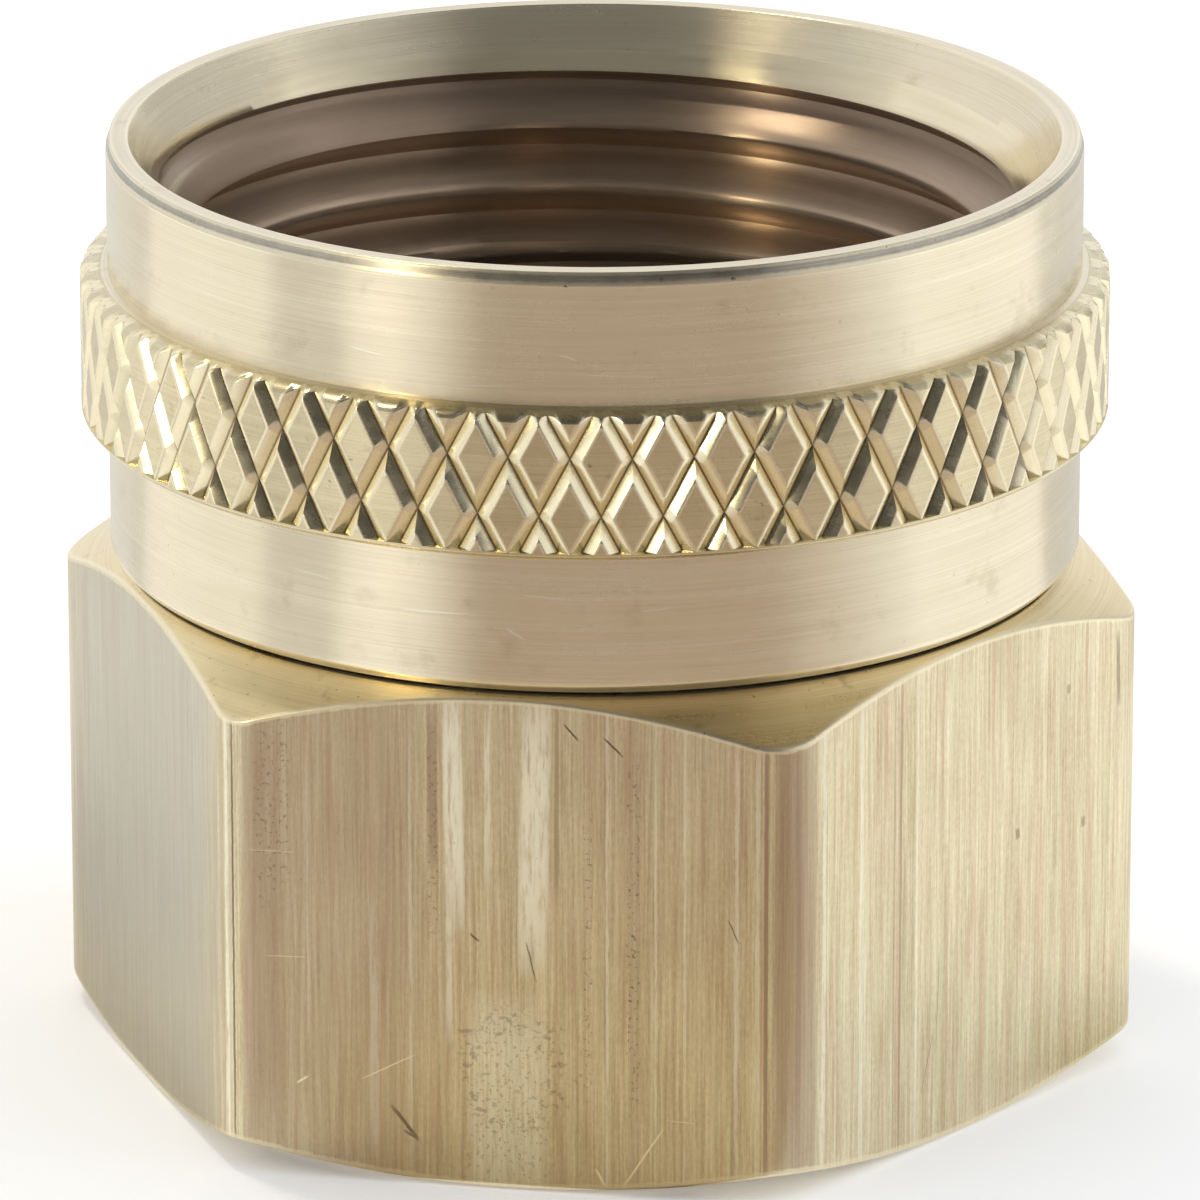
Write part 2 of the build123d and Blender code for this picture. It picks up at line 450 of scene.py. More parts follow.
# %% Pipe thread
pipe_thread = {
    "pitch": 1.814 * MM, "root_radius": 13.26 * MM, "root_flat": 0.06 * MM,
    "flank_slope": math.sqrt(3), "taper": 1 / 32, "groove_height": 0.6 * MM,
    "end_height": pipe_thread_depth, "end_side": -1.0, "run_out": 2.6 * MM,
    "crest_round": 0.10 * MM, "root_round": 0.10 * MM,
}
pipe_margin = 0.03 * MM


def pipe_wall(z):
    """Radius of the plain tapping hole and its countersunk mouth at a height."""
    mouth_depth = pipe_mouth_radius - pipe_crest_radius
    return np.interp(z, [0, mouth_depth], [pipe_mouth_radius, pipe_crest_radius])


pipe_rows, pipe_rows_per_turn = thread_rows(
    pipe_wall, body_angles, pipe_margin, pipe_thread_depth - pipe_margin, pipe_thread, steps=(5, 1, 3)
)
print(len(pipe_rows), "rows in the pipe thread")

# %% Body shell, and its thread
cone_end = pipe_thread_depth + (pipe_crest_radius - waterway_radius) * drill_point_slope
tool_round, turned_round = 0.04 * MM, 0.05 * MM
body_outline = soft_outline([
    (bottom_face_radius, 0, turned_round),
    (pipe_mouth_radius, 0, 0),
    *pipe_rows,
    (pipe_crest_radius, pipe_thread_depth, 0),
    (waterway_radius, cone_end, 0),
    (waterway_radius, neck_top - waterway_bevel, tool_round),
    (waterway_radius + waterway_bevel, neck_top, tool_round),
    (neck_radius - neck_bevel, neck_top, tool_round),
    (neck_radius, neck_top - neck_bevel, tool_round),
    (neck_radius, groove_high, 0),
    (groove_radius, groove_high, 0),
    (groove_radius, groove_low, 0),
    (neck_radius, groove_low, 0),
    (neck_radius, hex_height, 0),
    (top_face_radius, hex_height, turned_round),
    (bar_radius, bar_high, 0.07 * MM),
    (bar_radius, bar_low, 0.09 * MM),
])
body_mesh = turned_mesh("union_body", body_outline, body_angles, rows_per_turn=pipe_rows_per_turn)
tap_margin = pipe_margin + 5 * tiny
union_body = tap(body_mesh, tap_margin, pipe_thread_depth - tap_margin, pipe_mouth_radius, pipe_thread)
print(len(union_body.data.polygons), "faces in the body, with its pipe thread")

# %% [markdown]
# ## The knurl
# The collar's grip is a diamond knurl: two families of V grooves wind round it in opposite
# directions and leave flat-topped diamonds. The pattern repeats exactly, so only one repeat is
# modelled, flat, as four diamonds. Points stand along the grooves' own lines, so that every edge of a
# diamond is straight and crisp. Geometry Nodes then line up the repeats and roll the strip round the
# collar.

# %% Knurl sizes
diamonds_round = 53
knurl_pitch = 2 * math.pi * collar_radius / diamonds_round
diamond_height = 3.64 * MM
groove_depth = 0.28 * MM
groove_share = 0.185
knurl_length = 4.26 * MM
crossing_below_top = 3.15 * MM
crossing_angle = math.radians(-79.07)
print("knurl pitch", in_mm(knurl_pitch), "mm")

# %% One repeat of the knurl, flat
def groove_level(share):
    """Height of the surface above the collar's crest, at a share of the way from groove to groove."""
    away = min(share, 1 - share)
    return -groove_depth * max(0.0, 1 - away / groove_share)


def lay_diamond(bm, across, along, shares):
    """One diamond between four grooves, with its points on the shares of its two directions."""
    edge, hollow = bm.verts.layers.float["edge"], bm.verts.layers.float["hollow"]
    last = len(shares) - 1
    grid = {}
    for i, a in enumerate(shares):
        for j, b in enumerate(shares):
            level = min(groove_level(a), groove_level(b))
            x = (across + (a + b - 1) / 2) * knurl_pitch
            y = (along + (a - b) / 2) * diamond_height
            grid[i, j] = bm.verts.new((x, y, level))
            from_groove = {min(i, last - i), min(j, last - j)}
            grid[i, j][edge] = float(0 not in from_groove and bool(from_groove & {1, 2}))
            grid[i, j][hollow] = -level / groove_depth
    for i in range(last):
        for j in range(last):
            ring = [grid[i, j], grid[i + 1, j], grid[i + 1, j + 1], grid[i, j + 1]]
            faces = [ring]
            if i == j:
                faces = [ring[:3], [ring[0], ring[2], ring[3]]]
            elif i + j == last - 1:
                faces = [[ring[0], ring[1], ring[3]], ring[1:]]
            for face in faces:
                bm.faces.new(face)


def knurl_repeat():
    """Four diamonds, lying in the X-Y plane: X round the collar, Y along its axis, Z outwards."""
    ease = 0.020
    lines = [0, groove_share - ease, groove_share + ease, groove_share + 3.5 * ease]
    shares = lines + [1 - share for share in reversed(lines)]
    bm = bmesh.new()
    for name in ("edge", "hollow"):
        bm.verts.layers.float.new(name)
    for across, along in ((0.5, 0), (0.5, 1), (1, -0.5), (1, 0.5)):
        lay_diamond(bm, across, along, shares)
    top, bottom = crossing_below_top, crossing_below_top - knurl_length
    for level, above, below in (
        (top, True, False), (top - collar_edge, False, False), (bottom, False, True),
    ):
        bmesh.ops.bisect_plane(
            bm, geom=bm.verts[:] + bm.edges[:] + bm.faces[:], dist=tiny / 10,
            plane_co=(0, level, 0), plane_no=(0, 1, 0), clear_outer=above, clear_inner=below,
        )
    mesh = bpy.data.meshes.new("knurl_repeat")
    bm.to_mesh(mesh)
    bm.free()
    return mesh


repeat_mesh = knurl_repeat()
print(len(repeat_mesh.polygons), "faces in one repeat of the knurl")

# %% Tree that rolls the repeats round the collar
def knurl_roller():
    """Geometry tree: copies of a flat repeat in a row, rolled into a band round the Z axis."""
    tree, size, result = group_tree("GeometryNodeTree", "knurl_roller", {
        "Geometry": "Geometry", "Repeats": 12, "Pitch": 0.002, "Radius": 0.016, "Height": 0.0,
        "First Angle": 0.0, "Edge Top": 1.0, "Edge Break": 0.0, "Material": "Material",
    }, {"Geometry": "Geometry"})
    step, = add_node(tree, "ShaderNodeCombineXYZ", size["Pitch"])
    row, = add_node(tree, "GeometryNodeMeshLine", size["Repeats"], mode="OFFSET", Offset=step)
    copies, = add_node(tree, "GeometryNodeInstanceOnPoints", row, Instance=size["Geometry"])
    solid, = add_node(tree, "GeometryNodeRealizeInstances", copies)
    across, along, outwards = parts(add_node(tree, "GeometryNodeInputPosition")[0])
    angle = across / size["Radius"] + size["First Angle"]
    height = along + size["Height"]
    past = height - size["Edge Top"] + size["Edge Break"]
    bevel = size["Radius"] - calculate("MAXIMUM", past, 0.0)
    radius = calculate("MINIMUM", size["Radius"] + outwards, bevel)
    rolled, = add_node(
        tree, "ShaderNodeCombineXYZ",
        radius * calculate("COSINE", angle), radius * calculate("SINE", angle), height,
    )
    band, = add_node(tree, "GeometryNodeSetPosition", solid, None, rolled)
    joined, = add_node(tree, "GeometryNodeMergeByDistance", band, Distance=tiny)
    return end_tree(tree, result, joined, size["Material"])


knurl_band = run_tree(
    object_with(repeat_mesh), knurl_roller(), repeats=diamonds_round, pitch=knurl_pitch,
    radius=collar_radius, height=collar_top - crossing_below_top, first_angle=crossing_angle,
    edge_top=collar_top, edge_break=collar_edge,
)
print(len(knurl_band.data.polygons), "faces in the knurl")

# %% [markdown]
# ## The swivel nut
# The nut is one turned ring with a knurled band in its side. The turned part is an open strip that
# runs from the band's lower end, round the foot, up through the bore and over the rim, and back down
# to the band's upper end. Two seams close it. Above, a fan of triangles joins the last ring of points
# to the notched edge of the knurl. Below, each groove ends in a small upright wall, where the
# knurling wheel stopped.

# %% Hose thread
hose_thread = {
    "pitch": 2.209 * MM, "root_radius": 13.65 * MM, "root_flat": 0.32 * MM,
    "flank_slope": math.sqrt(3), "taper": 0.0, "groove_height": 24.445 * MM,
    "end_height": relief_top, "end_side": 1.0, "run_out": 1.2 * MM,
    "crest_round": 0.25 * MM, "root_round": 0.30 * MM,
}
nut_columns = 360
nut_angles = even_angles(nut_columns)


def hose_wall(z):
    """Radius of the plain bore at a height: run-out, crests of the thread, then the mouth's cone."""
    run_out_top = relief_top + relief_radius - hose_crest_radius
    heights = [relief_top, run_out_top, mouth_cone_end, nut_top]
    return np.interp(z, heights, [relief_radius, hose_crest_radius, hose_crest_radius, land_inner_radius])


hose_low, hose_high = relief_top + 0.02 * MM, nut_top - 0.25 * MM
hose_rows, hose_rows_per_turn = thread_rows(hose_wall, nut_angles, hose_low, hose_high, hose_thread)
print(len(hose_rows), "rows in the hose thread")

# %% Turned part of the nut
notch_reach = 0.705 * MM
shoulder_slope = collar_edge / notch_reach
shoulder_low = collar_top + collar_edge
foot_bevel, rim_bevel, rim_drop = 0.28 * MM, 0.12 * MM, 0.38 * MM
notch_start = 0.2 * MM
nut_outline = soft_outline([
    (collar_radius, collar_low + 0.19 * MM, 0),
    (collar_radius, collar_low + collar_edge, 0.03 * MM),
    (collar_radius - collar_edge, collar_low, 0.04 * MM),
    (nut_radius, collar_low, 0),
    (nut_radius, nut_bottom + foot_bevel, 0.06 * MM),
    (nut_radius - foot_bevel, nut_bottom, turned_round),
    (web_bore_radius, nut_bottom, turned_round),
    (web_bore_radius, web_top, turned_round),
    (relief_radius, web_top, 0),
    (relief_radius, relief_top, 0),
    *hose_rows,
    (land_inner_radius, nut_top, 0.035 * MM),
    (nut_radius - rim_bevel, nut_top, turned_round),
    (nut_radius, nut_top - rim_drop, turned_round),
    (nut_radius, shoulder_low, 0.0),
    (nut_radius + notch_start, shoulder_low - notch_start * shoulder_slope, 0.0),
])
turned_part = turned_mesh(
    "turned_part", nut_outline, nut_angles, closed=False, rows_per_turn=hose_rows_per_turn
)
turned_part = tap(turned_part, hose_low + 5 * tiny, hose_high - 10 * tiny, land_inner_radius, hose_thread)
print(len(turned_part.data.polygons), "faces in the turned part, with its hose thread")

# %% Close the nut
def by_angle(points, chosen):
    """Indices of the chosen points in order round the axis."""
    chosen = np.flatnonzero(chosen)
    return chosen[np.argsort(np.arctan2(points[chosen, 1], points[chosen, 0]))].tolist()


def zip_rings(points, lower, upper):
    """Triangles that fill the band between two rings of points with different counts.

    Both rings are given in order round the axis, from the same side.
    """
    def angle_at(ring, k):
        x, y, _ = points[ring[k % len(ring)]]
        return math.atan2(y, x) + 2 * math.pi * (k // len(ring))

    faces, i, j = [], 0, 0
    while i < len(lower) or j < len(upper):
        here, there = lower[i % len(lower)], upper[j % len(upper)]
        if j == len(upper) or (i < len(lower) and angle_at(lower, i + 1) <= angle_at(upper, j + 1)):
            i += 1
            faces.append((here, lower[i % len(lower)], there))
        else:
            j += 1
            faces.append((here, upper[j % len(upper)], there))
    return faces


def close_nut(turned, band):
    """One mesh from the turned part and the knurled band, with the two seams between them."""
    first = len(turned.vertices)
    points = np.concatenate([points_of(turned)[0], points_of(band)[0]])
    faces = [tuple(face.vertices) for face in turned.polygons]
    faces += [tuple(first + k for k in face.vertices) for face in band.polygons]
    edge = np.concatenate([all_of(mesh.attributes["edge"].data, "value") for mesh in (turned, band)])
    hollow = np.concatenate([np.zeros(first), all_of(band.attributes["hollow"].data, "value")])
    in_band = np.arange(len(points)) >= first
    reach = np.hypot(points[:, 0], points[:, 1])

    upper = by_angle(points, in_band & (points[:, 2] > collar_top - tiny))
    points[upper, 2] = collar_top + (nut_radius + notch_reach - reach[upper]) * shoulder_slope
    last_ring = (np.arange(len(points)) >= first - nut_columns) & ~in_band
    faces += zip_rings(points, by_angle(points, last_ring), upper)

    lower = by_angle(points, in_band & (points[:, 2] < collar_top - knurl_length + tiny))
    crests = []
    for k in lower:
        if reach[k] > collar_radius - tiny:
            crests.append(k)
            continue
        crests.append(len(points))
        outwards = collar_radius / reach[k]
        points = np.vstack([points, points[k] * [outwards, outwards, 1]])
        edge, hollow = np.append(edge, 0.6), np.append(hollow, 0.0)
    for k in range(len(lower)):
        ring = tuple(dict.fromkeys([lower[k - 1], lower[k], crests[k], crests[k - 1]]))
        if len(ring) > 2:
            faces.append(ring)
    faces += zip_rings(points, by_angle(points, np.arange(len(points)) < nut_columns), crests)
    return new_mesh("union_nut", points, faces, edge=edge, hollow=hollow)


union_nut = object_with(close_nut(turned_part.data, knurl_band.data))
for spare in (turned_part, knurl_band):
    bpy.data.objects.remove(spare)
print(len(union_nut.data.polygons), "faces in the nut")

# %% Finish the meshes
def finish_mesh(made, sharp_angle=42):
    """Close and check a piece: merge doubles, turn faces outwards, keep flat faces flat."""
    bm = bmesh.new()
    bm.from_mesh(made.data)
    bmesh.ops.remove_doubles(bm, verts=bm.verts, dist=tiny)
    bmesh.ops.recalc_face_normals(bm, faces=bm.faces)
    open_edges = sum(1 for line in bm.edges if len(line.link_faces) != 2)
    bm.to_mesh(made.data)
    bm.free()
    made.data.shade_smooth()
    made.data.set_sharp_from_angle(angle=math.radians(sharp_angle))
    made.modifiers.new("weighted", "WEIGHTED_NORMAL").keep_sharp = True
    print(made.name, "has", open_edges, "open edges and", len(made.data.polygons), "faces")


finish_mesh(union_body)
finish_mesh(union_nut)

# %% [markdown]
# ## Shared surface effects
# The brass surfaces share four effects, and each is one node group. Turning lines are the fine
# circles that a lathe tool leaves: they follow the radius and the height, never the angle. Mottling
# is the uneven film that air and hands leave on bare brass. Edge wear finds the rounded edges that the
# mesh marks, and breaks them up. A single mark is one scratch or streak at a chosen place, in the
# piece's own UV map, which counts millimetres round and up.

# %% Texture helpers
def scaled(vector, x, y, z):
    """Vector multiplied by three numbers."""
    return add_node(vector.tree, "ShaderNodeVectorMath", vector, (x, y, z), operation="MULTIPLY")[0]


def length_of(vector):
    """Length of a vector."""
    return add_node(vector.tree, "ShaderNodeVectorMath", vector, operation="LENGTH")[1]


def spread(value, low, high, to_low=0.0, to_high=1.0):
    """Map a range of a value to another range, held at its ends."""
    return add_node(value.tree, "ShaderNodeMapRange", value, low, high, to_low, to_high)[0]


def noise(vector, scale, detail=3.0, roughness=0.6, seed=None):
    """Value of a noise texture. Three scales make a grain that runs one way."""
    if isinstance(scale, tuple):
        vector, scale = scaled(vector, *scale), 1.0
    fourth = {} if seed is None else {"noise_dimensions": "4D", "W": seed}
    return add_node(
        vector.tree, "ShaderNodeTexNoise",
        Vector=vector, Scale=scale, Detail=detail, Roughness=roughness, **fourth,
    )[0]


def in_millimetres(place, size):
    """Place divided by a size in millimetres, so that a texture has that size."""
    return add_node(place.tree, "ShaderNodeVectorMath", place, operation="SCALE", Scale=1 / MM / size)[0]


def shader_group(name, inputs, outputs):
    """Empty shader group that starts from a place and puts out numbers."""
    inputs = {"Place": "Vector", **inputs}
    return group_tree("ShaderNodeTree", name, inputs, dict.fromkeys(outputs, "Float"))


# %% Turning lines
def turning_lines():
    """Circles round the Z axis: a fine tool pitch and broader bands of light and dark."""
    tree, given, result = shader_group(
        "turning_lines", {"Line Width": 0.05, "Band Width": 0.8, "Break Up": 1.0}, ["Lines", "Bands"]
    )
    x, y, z = parts(given["Place"])
    radius = calculate("MAXIMUM", calculate("SQRT", x * x + y * y), 1e-6)
    turn = given["Break Up"] / radius
    for output, width, detail in (("Lines", "Line Width", 2.0), ("Bands", "Band Width", 3.0)):
        size = given[width] * MM
        ring, = add_node(tree, "ShaderNodeCombineXYZ", x * turn, y * turn, radius / size)
        feed(result, **{output: spread(noise(ring, 1.0, detail, seed=z / size), 0.3, 0.7)})
    return tree


# %% Mottling
def mottling():
    """Soft uneven film, and a few small stains."""
    tree, given, result = shader_group("mottling", {"Patch Size": 3.0, "Seed": 0.0}, ["Film", "Stains"])
    patch = in_millimetres(given["Place"], given["Patch Size"])
    film = noise(patch, 1.0, 5.0, seed=given["Seed"])
    stains = noise(patch, 2.6, 4.0, 0.65, seed=given["Seed"] + 7.3)
    feed(result, Film=spread(film, 0.35, 0.68), Stains=spread(stains, 0.60, 0.72))
    return tree


# %% Edge wear
def edge_wear():
    """Where an edge is rubbed bright, from the edge number that the mesh carries."""
    tree, given, result = shader_group("edge_wear", {"Edge": 0.0, "Chips": 0.5, "Grain": 0.3}, ["Worn"])
    chips = noise(in_millimetres(given["Place"], given["Grain"]), 1.0) - 0.5
    feed(result, Worn=spread(chips * given["Chips"] + given["Edge"], 0.35, 0.75))
    return tree


# %% One scratch or streak
def single_mark():
    """A long soft-edged mark at a place on the UV map, in millimetres; angle 0 stands upright."""
    tree, given, result = shader_group("single_mark", {
        "Across": 0.0, "Up": 0.0, "Length": 1.0, "Width": 0.1, "Angle": 0.0, "Shake": 0.0,
    }, ["Mark"])
    x, y, _ = parts(given["Place"])
    x, y = x - given["Across"], y - given["Up"]
    cosine, sine = calculate("COSINE", given["Angle"]), calculate("SINE", given["Angle"])
    along = y * cosine - x * sine
    aside = given["Shake"] + (x * cosine + y * sine)
    far = calculate("ABSOLUTE", along) / (given["Length"] * 0.5)
    wide = calculate("ABSOLUTE", aside) / (given["Width"] * 0.5)
    ends = 1.0 - calculate("POWER", calculate("MINIMUM", far, 1.0), 4.0)
    sides = 1.0 - calculate("POWER", calculate("MINIMUM", wide, 1.0), 6.0)
    feed(result, Mark=ends * sides)
    return tree


turning_group, mottling_group = turning_lines(), mottling()
wear_group, mark_group = edge_wear(), single_mark()
print("shader groups:", [tree.name for tree in (turning_group, mottling_group, wear_group, mark_group)])

# %% [markdown]
# ## UV map in millimetres
# Marks need a place on the surface. The UV map gives one: the first number is the distance round the
# side from the middle of the front, the second is the height. On the hexagon the distance is measured
# along the flats.

# %% UV map
def measure_round(made, radius_of_side):
    """UV map that counts millimetres round the side from the front (-Y), and up."""
    mesh = made.data
    points, _ = points_of(mesh)
    corners = all_of(mesh.loops, "vertex_index", kind=np.int64)
    starts = all_of(mesh.polygons, "loop_start", kind=np.int64)
    totals = all_of(mesh.polygons, "loop_total", kind=np.int64)
    angle = np.mod(np.arctan2(points[:, 1], points[:, 0]) + math.pi / 2 + math.pi, 2 * math.pi) - math.pi
    at = angle[corners]
    highest = np.repeat(np.maximum.reduceat(at, starts), totals)
    at = np.where(highest - at > math.pi, at + 2 * math.pi, at)
    place = np.column_stack([radius_of_side(at), points[corners, 2]]) / MM
    mesh.uv_layers.new(name="side_mm").uv.foreach_set("vector", place.astype(np.float32).ravel())


def along_flats(angle):
    """Distance along the hexagon's outline at an angle from the middle of the front flat."""
    flat = np.round(angle / sixth)
    side = 2 * hex_inradius * math.tan(sixth / 2)
    return flat * side + hex_inradius * np.tan(angle - flat * sixth)


measure_round(union_body, along_flats)
measure_round(union_nut, lambda angle: angle * nut_radius)
print("UV maps made")

# %% [markdown]
# ## Brass
# Yellow brass is a metal, so its colour is the colour of its reflections. Six finishes differ in what
# was done to the metal. Turned faces have circles, which spread a reflection across them: the shader
# is anisotropic, and the light makes upright bands on the barrel. The chamfer is turned too, but
# rougher and more stained, and the bevel at the rim is greyed by knocks. The threads are dull under a
# brown film. The knurl's grooves are bright on their sides and hold dirt at the bottom. The hexagon's
# flats are as drawn, with streaks along the bar.

# %% Colours of the marks on brass
stain_brown = (0.33, 0.24, 0.13)
film_brown = (0.20, 0.145, 0.11)
dirt_brown = (0.22, 0.17, 0.11)
groove_dirt = (0.24, 0.18, 0.11)
groove_gold = (0.95, 0.86, 0.60)
rubbed_gold, rubbed_flat = (0.93, 0.84, 0.62), (0.93, 0.84, 0.60)
scratch_pale = (0.96, 0.93, 0.82)
scratch_gold = (1.0, 0.93, 0.66)
scratch_dark = (0.23, 0.17, 0.12)
streak_pale = (1.0, 0.98, 0.80)
streak_brown = (0.40, 0.28, 0.19)
streak_red = (0.60, 0.42, 0.28)
streak_green = (0.70, 0.68, 0.43)
# Grey painted onto flats in place of the grey reflection that the left flat shows.
painted_reflection_grey = (0.60, 0.58, 0.50)
cone_light, cone_dark = (0.90, 0.81, 0.60), (0.76, 0.66, 0.46)
print("red, green and blue of rubbed brass:", rubbed_gold)

# %% Material helpers
def new_material(name):
    """Material with an empty tree that holds only its shader and output."""
    made = bpy.data.materials.new(name)
    made.use_nodes = True
    return made, made.node_tree, made.node_tree.nodes["Principled BSDF"]


def object_place(tree):
    """Object coordinates."""
    return Wire(tree.nodes.new("ShaderNodeTexCoord").outputs["Object"])


def side_place(tree):
    """Place on the side in millimetres, from the UV map."""
    return add_node(tree, "ShaderNodeUVMap", uv_map="side_mm")[0]


def number_of(tree, name):
    """A number that the mesh carries for each point."""
    return add_node(tree, "ShaderNodeAttribute", attribute_name=name)[2]


def blend_colour(share, low, high):
    """Mix of two colours by a share."""
    made = share.tree.nodes.new("ShaderNodeMix")
    made.data_type = "RGBA"
    for socket, value in zip((made.inputs[0], made.inputs[6], made.inputs[7]), (share, low, high)):
        fill(socket, (*value, 1.0) if isinstance(value, tuple) else value)
    return Wire(made.outputs[2])


def raised(height, strength, step):
    """Normal of small heights on the surface. A full step is given in millimetres."""
    return add_node(
        height.tree, "ShaderNodeBump", Strength=strength, Distance=step * MM, Height=height
    )[0]


def round_axis(tree):
    """Tangent that runs round the Z axis, for stretched reflections."""
    return add_node(tree, "ShaderNodeTangent", direction_type="RADIAL", axis="Z")[0]


def use_group(group, place, **values):
    """Place a shader group in a material, with its own values by name."""
    return add_node(place.tree, "ShaderNodeGroup", node_tree=group, Place=place, **values)


def tool_marks(place):
    """Fine lines and broad bands of the lathe on the brass."""
    return use_group(turning_group, place, Line_Width=0.035, Band_Width=0.55, Break_Up=1.6)


def rubbed(colour, place, chips, grain, bright=rubbed_gold):
    """Colour with its edges rubbed bright."""
    edge = number_of(place.tree, "edge")
    worn, = use_group(wear_group, place, Edge=edge, Chips=chips, Grain=grain)
    return blend_colour(worn * 0.6, colour, bright)


def lay_marks(place, waver, marks):
    """Strongest of several marks: (across, up, length, width, angle in degrees, strength) each."""
    shake = (noise(place, 1.6, 4.0, 0.65) - 0.5) * waver
    total = 0.0
    for across, up, length, width, angle, strength in marks:
        mark, = use_group(
            mark_group, place, Across=across, Up=up, Length=length, Width=width,
            Angle=math.radians(angle), Shake=shake,
        )
        total = calculate("MAXIMUM", mark * strength, total)
    return total


# %% Turned brass
def turned_brass(name, light, dark, roughness, bump, scratches=(), patch=4.0, stain=0.22, specks=0.25):
    """Brass with turning lines, a thin uneven film, specks of dirt and a few scratches."""
    made, tree, shader = new_material(name)
    place = object_place(tree)
    lines, bands = tool_marks(place)
    film, stains = use_group(mottling_group, place, Patch_Size=patch, Seed=2.0)
    colour = blend_colour(lines * 0.50 + bands * 0.30 + film * 0.20, dark, light)
    colour = blend_colour(stains * stain, colour, stain_brown)
    colour = rubbed(colour, place, 0.7, 0.25)
    dirt = spread(noise(place, (4.2 / MM,) * 3), 0.69, 0.73)
    colour = blend_colour(dirt * specks, colour, dirt_brown)
    if scratches:
        colour = blend_colour(lay_marks(side_place(tree), 0.06, scratches), colour, scratch_pale)
    feed(
        shader, Base_Color=colour, Roughness=bands * 0.08 + film * 0.06 + roughness, Metallic=1.0,
        Normal=raised(lines * 0.6 + bands, bump, 0.004), Tangent=round_axis(tree),
        Anisotropic=0.7, Anisotropic_Rotation=0.25,
    )
    return made


def fed_into(shader, name):
    """Wire that feeds one of a shader's inputs so far."""
    return Wire(shader.inputs[name].links[0].from_socket)


def stain_threads(made):
    """Threads: a brown film, heavier near the hose's end, that stops at the clean turned mouths."""
    tree = made.node_tree
    shader = tree.nodes["Principled BSDF"]
    place = object_place(tree)
    x, y, height = parts(place)
    below_rim = nut_top - height
    past_cone = calculate("SQRT", x * x + y * y) - (below_rim * (-1 / mouth_cone_slope) + land_inner_radius)
    on_cone = spread(past_cone, 0.02 * MM, 0.10 * MM, 1.0, 0.0)
    above_thread = spread(below_rim, 2.05 * MM, 2.35 * MM, 1.0, 0.0)
    pipe_mouth = spread(height, 0.20 * MM, 0.30 * MM, 1.0, 0.0)
    clean = calculate("MAXIMUM", on_cone * above_thread, pipe_mouth)
    heavy = spread(below_rim, 2.8 * MM, 5.0 * MM, 0.62, 0.0)
    stained = blend_colour(heavy, fed_into(shader, "Base Color"), film_brown)
    turned = blend_colour(tool_marks(place)[1], cone_dark, cone_light)
    feed(
        shader, Base_Color=blend_colour(clean, stained, turned),
        Roughness=clean * -0.16 + fed_into(shader, "Roughness"),
        Metallic=clean * 0.12 + 0.88, Anisotropic=clean * -0.20 + 0.90,
    )
    return made


def shade_grooves(made):
    """Knurl: the rolled sides of its grooves are bright, the bottoms hold dirt."""
    shader = made.node_tree.nodes["Principled BSDF"]
    hollow = number_of(made.node_tree, "hollow")
    sides, bottoms = spread(hollow, 0.05, 0.20, 0.0, 0.75), spread(hollow, 0.84, 0.96, 0.0, 0.75)
    colour = blend_colour(sides, fed_into(shader, "Base Color"), groove_gold)
    feed(shader, Base_Color=blend_colour(bottoms, colour, groove_dirt), Anisotropic=0.0)
    return made


# %% Turned finishes
# A scratch is its place across and up, its length, width, lean in degrees and strength.
turned_finish = turned_brass("brass_turned", (0.89, 0.81, 0.62), (0.68, 0.59, 0.42), 0.18, 0.5, [
    (-4.4, 26.6, 1.3, 0.05, 84, 0.5), (-0.6, 25.9, 2.0, 0.05, 93, 0.5), (1.9, 26.9, 0.7, 0.05, 70, 0.7),
    (3.6, 26.3, 2.4, 0.05, 88, 0.45), (-2.2, 18.6, 2.2, 0.06, 92, 0.6), (1.2, 19.3, 1.5, 0.05, 86, 0.6),
    (0.3, 18.1, 0.7, 0.06, 60, 0.8), (4.6, 18.9, 1.1, 0.05, 95, 0.5), (-6.4, 19.2, 1.6, 0.05, 87, 0.4),
])
chamfer_finish = turned_brass(
    "brass_chamfer", (0.95, 0.82, 0.52), (0.70, 0.56, 0.31), 0.24, 0.4, patch=2.2, stain=0.45, specks=0.7
)
rim_finish = turned_brass(
    "brass_rim", (0.62, 0.58, 0.48), (0.18, 0.16, 0.13), 0.30, 0.6, patch=0.7, stain=0.7, specks=1.0
)
thread_finish = stain_threads(
    turned_brass("brass_threaded", (0.64, 0.49, 0.35), (0.48, 0.36, 0.26), 0.28, 0.3)
)
knurl_finish = shade_grooves(turned_brass(
    "brass_knurled", (0.80, 0.71, 0.48), (0.54, 0.46, 0.28), 0.20, 0.3, patch=1.3, stain=0.40, specks=0.6
))
print("turned finishes:", [made.name for made in bpy.data.materials if made.name.startswith("brass")])

# %% Streaks and marks of the flats
def full_length(*streaks):
    """Marks for streaks along the whole bar: (across, width, strength) each."""
    return [(across, 8.0, 20.0, width, 0, strength) for across, width, strength in streaks]


# Each mark is its place across and up, its length, width, lean in degrees and strength.
pale_streaks = [
    (-1.65, 12.4, 8.4, 0.66, 1, 1.0), (-1.80, 7.5, 6.0, 0.22, 0, 0.8), (0.85, 11.6, 9.4, 1.0, -1, 1.0),
    (-0.6, 12.8, 6.5, 0.20, 0, 0.7), (-3.0, 8.0, 17.0, 0.12, 0, 0.6), (-4.15, 5.2, 9.0, 0.30, 0, 0.6),
    (0.0, 2.9, 7.4, 2.6, 0, 0.60), (-6.2, 9.0, 9.0, 0.07, 0, 0.6),
] + full_length(
    (7.1, 0.14, 0.5), (7.75, 0.18, 0.5), (-8.98, 0.20, 0.8), (10.4, 0.20, 0.7), (3.1, 0.10, 0.6),
    (12.2, 0.2, 0.5), (14.9, 0.12, 0.6), (5.5, 0.10, 0.5), (4.6, 0.08, 0.5),
)
